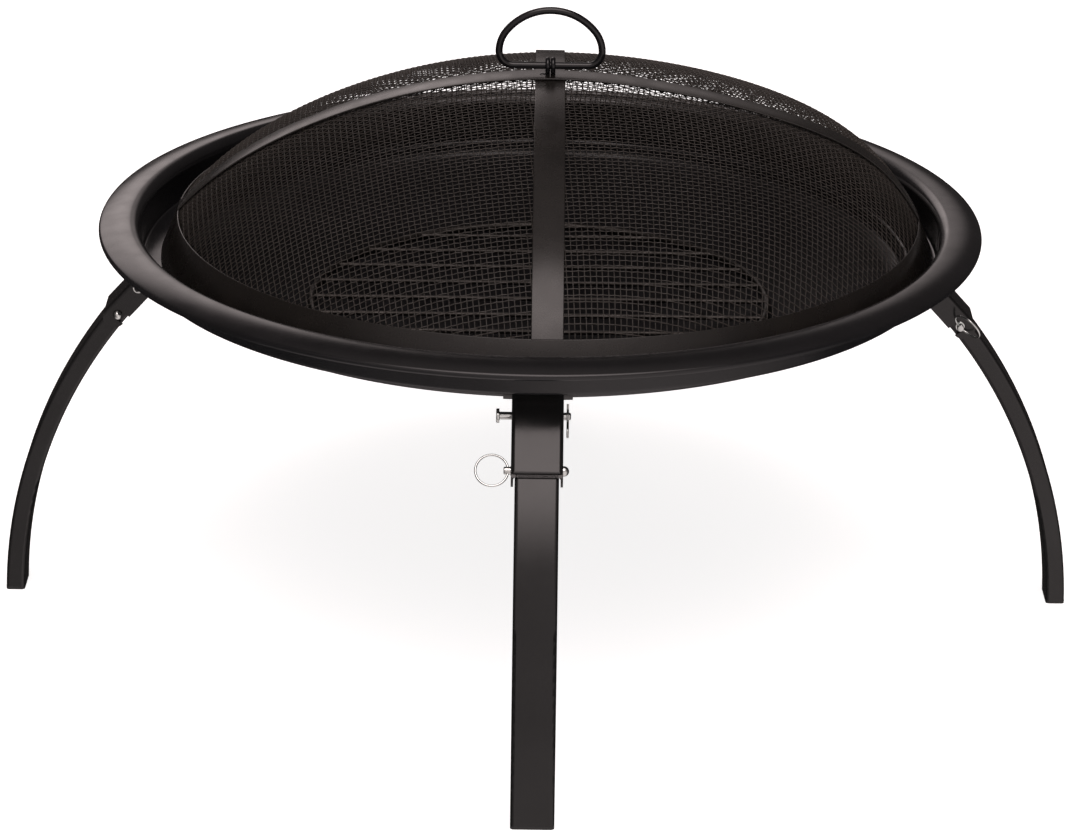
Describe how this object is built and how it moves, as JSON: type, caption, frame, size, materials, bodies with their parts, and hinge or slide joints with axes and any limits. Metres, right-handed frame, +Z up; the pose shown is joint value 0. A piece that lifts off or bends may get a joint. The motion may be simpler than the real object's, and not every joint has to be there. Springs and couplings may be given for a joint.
{
  "type": "folding fire pit",
  "caption": "Round black steel fire bowl on curved fold-under legs locked by pull-ring pins, with a wire grate and a lift-off domed mesh spark screen.",
  "frame": {"origin": "on the ground under the middle of the bowl", "axes": "+Z up, -Y to the front leg, +X to the right leg"},
  "size_m": [0.913, 0.913, 0.5217],
  "materials": {
    "bowl_coat": "semi-gloss black heat-resistant coat on pressed steel",
    "satin_black": "satin black powder coat on steel tube and sheet",
    "screen_black": "satin brown-black coat on steel strap",
    "mesh_wire": "black coated woven steel wire",
    "handle_black": "glossy black coat on round steel wire",
    "grate_wire": "dull bright-plated steel wire",
    "bright_zinc": "bright zinc plate",
    "foot_plastic": "matte black moulded plastic"
  },
  "bodies": {
    "stand": {"fire_bowl": "bowl_coat", "leg_bracket_front": "satin_black", "pivot_pin_front": "bright_zinc", "hairpin_clip_front": "bright_zinc", "leg_bracket_right": "satin_black", "pivot_pin_right": "bright_zinc", "hairpin_clip_right": "bright_zinc", "leg_bracket_rear": "satin_black", "pivot_pin_rear": "bright_zinc", "hairpin_clip_rear": "bright_zinc", "leg_bracket_left": "satin_black", "pivot_pin_left": "bright_zinc", "hairpin_clip_left": "bright_zinc"},
    "leg_front": {"leg_front": "satin_black", "foot_plug_front": "foot_plastic"},
    "lock_front": {"lock_pin_front": "bright_zinc"},
    "ring_front": {"pull_ring_front": "bright_zinc"},
    "leg_right": {"leg_right": "satin_black", "foot_plug_right": "foot_plastic"},
    "lock_right": {"lock_pin_right": "bright_zinc"},
    "ring_right": {"pull_ring_right": "bright_zinc"},
    "leg_rear": {"leg_rear": "satin_black", "foot_plug_rear": "foot_plastic"},
    "lock_rear": {"lock_pin_rear": "bright_zinc"},
    "ring_rear": {"pull_ring_rear": "bright_zinc"},
    "leg_left": {"leg_left": "satin_black", "foot_plug_left": "foot_plastic"},
    "lock_left": {"lock_pin_left": "bright_zinc"},
    "ring_left": {"pull_ring_left": "bright_zinc"},
    "grate": {"fire_grate": "grate_wire"},
    "screen": {"screen_ring": "screen_black", "strap_front_back": "screen_black", "strap_left_right": "screen_black", "spark_mesh": "mesh_wire", "handle_eyes": "handle_black"},
    "handle": {"lift_handle": "handle_black"}
  },
  "joints": [
    {"name": "leg_fold_front", "type": "hinge", "parent": "stand", "child": "leg_front", "pos_m": [0, -0.3235, 0.288], "axis": [1, 0, 0], "range_deg": [0, 98]},
    {"name": "lock_pull_front", "type": "slide", "parent": "leg_front", "child": "lock_front", "axis": [-1, 0, 0], "range_m": [0, 0.048]},
    {"name": "ring_swing_front", "type": "hinge", "parent": "lock_front", "child": "ring_front", "pos_m": [-0.02211, -0.35375, 0.25469], "axis": [0, 0.6723, 0.7403], "range_deg": [-80, 80]},
    {"name": "leg_fold_right", "type": "hinge", "parent": "stand", "child": "leg_right", "pos_m": [0.3235, 0, 0.288], "axis": [0, 1, 0], "range_deg": [0, 98]},
    {"name": "lock_pull_right", "type": "slide", "parent": "leg_right", "child": "lock_right", "axis": [0, -1, 0], "range_m": [0, 0.048]},
    {"name": "ring_swing_right", "type": "hinge", "parent": "lock_right", "child": "ring_right", "pos_m": [0.35375, -0.02211, 0.25469], "axis": [-0.6723, 0, 0.7403], "range_deg": [-112, 48]},
    {"name": "leg_fold_rear", "type": "hinge", "parent": "stand", "child": "leg_rear", "pos_m": [0, 0.3235, 0.288], "axis": [-1, 0, 0], "range_deg": [0, 98]},
    {"name": "lock_pull_rear", "type": "slide", "parent": "leg_rear", "child": "lock_rear", "axis": [1, 0, 0], "range_m": [0, 0.048]},
    {"name": "ring_swing_rear", "type": "hinge", "parent": "lock_rear", "child": "ring_rear", "pos_m": [0.02211, 0.35375, 0.25469], "axis": [0, -0.6723, 0.7403], "range_deg": [-92, 68]},
    {"name": "leg_fold_left", "type": "hinge", "parent": "stand", "child": "leg_left", "pos_m": [-0.3235, 0, 0.288], "axis": [0, -1, 0], "range_deg": [0, 98]},
    {"name": "lock_pull_left", "type": "slide", "parent": "leg_left", "child": "lock_left", "axis": [0, 1, 0], "range_m": [0, 0.048]},
    {"name": "ring_swing_left", "type": "hinge", "parent": "lock_left", "child": "ring_left", "pos_m": [-0.35375, 0.02211, 0.25469], "axis": [0.6723, 0, 0.7403], "range_deg": [-70, 90]},
    {"name": "grate_lift", "type": "slide", "parent": "stand", "child": "grate", "axis": [0, 0, 1], "range_m": [0, 0.11]},
    {"name": "screen_lift", "type": "slide", "parent": "stand", "child": "screen", "axis": [0, 0, 1], "range_m": [0, 0.25]},
    {"name": "handle_swing", "type": "hinge", "parent": "screen", "child": "handle", "pos_m": [0.0065, 0, 0.47167], "axis": [1, 0, 0], "range_deg": [-97, 97]}
  ]
}
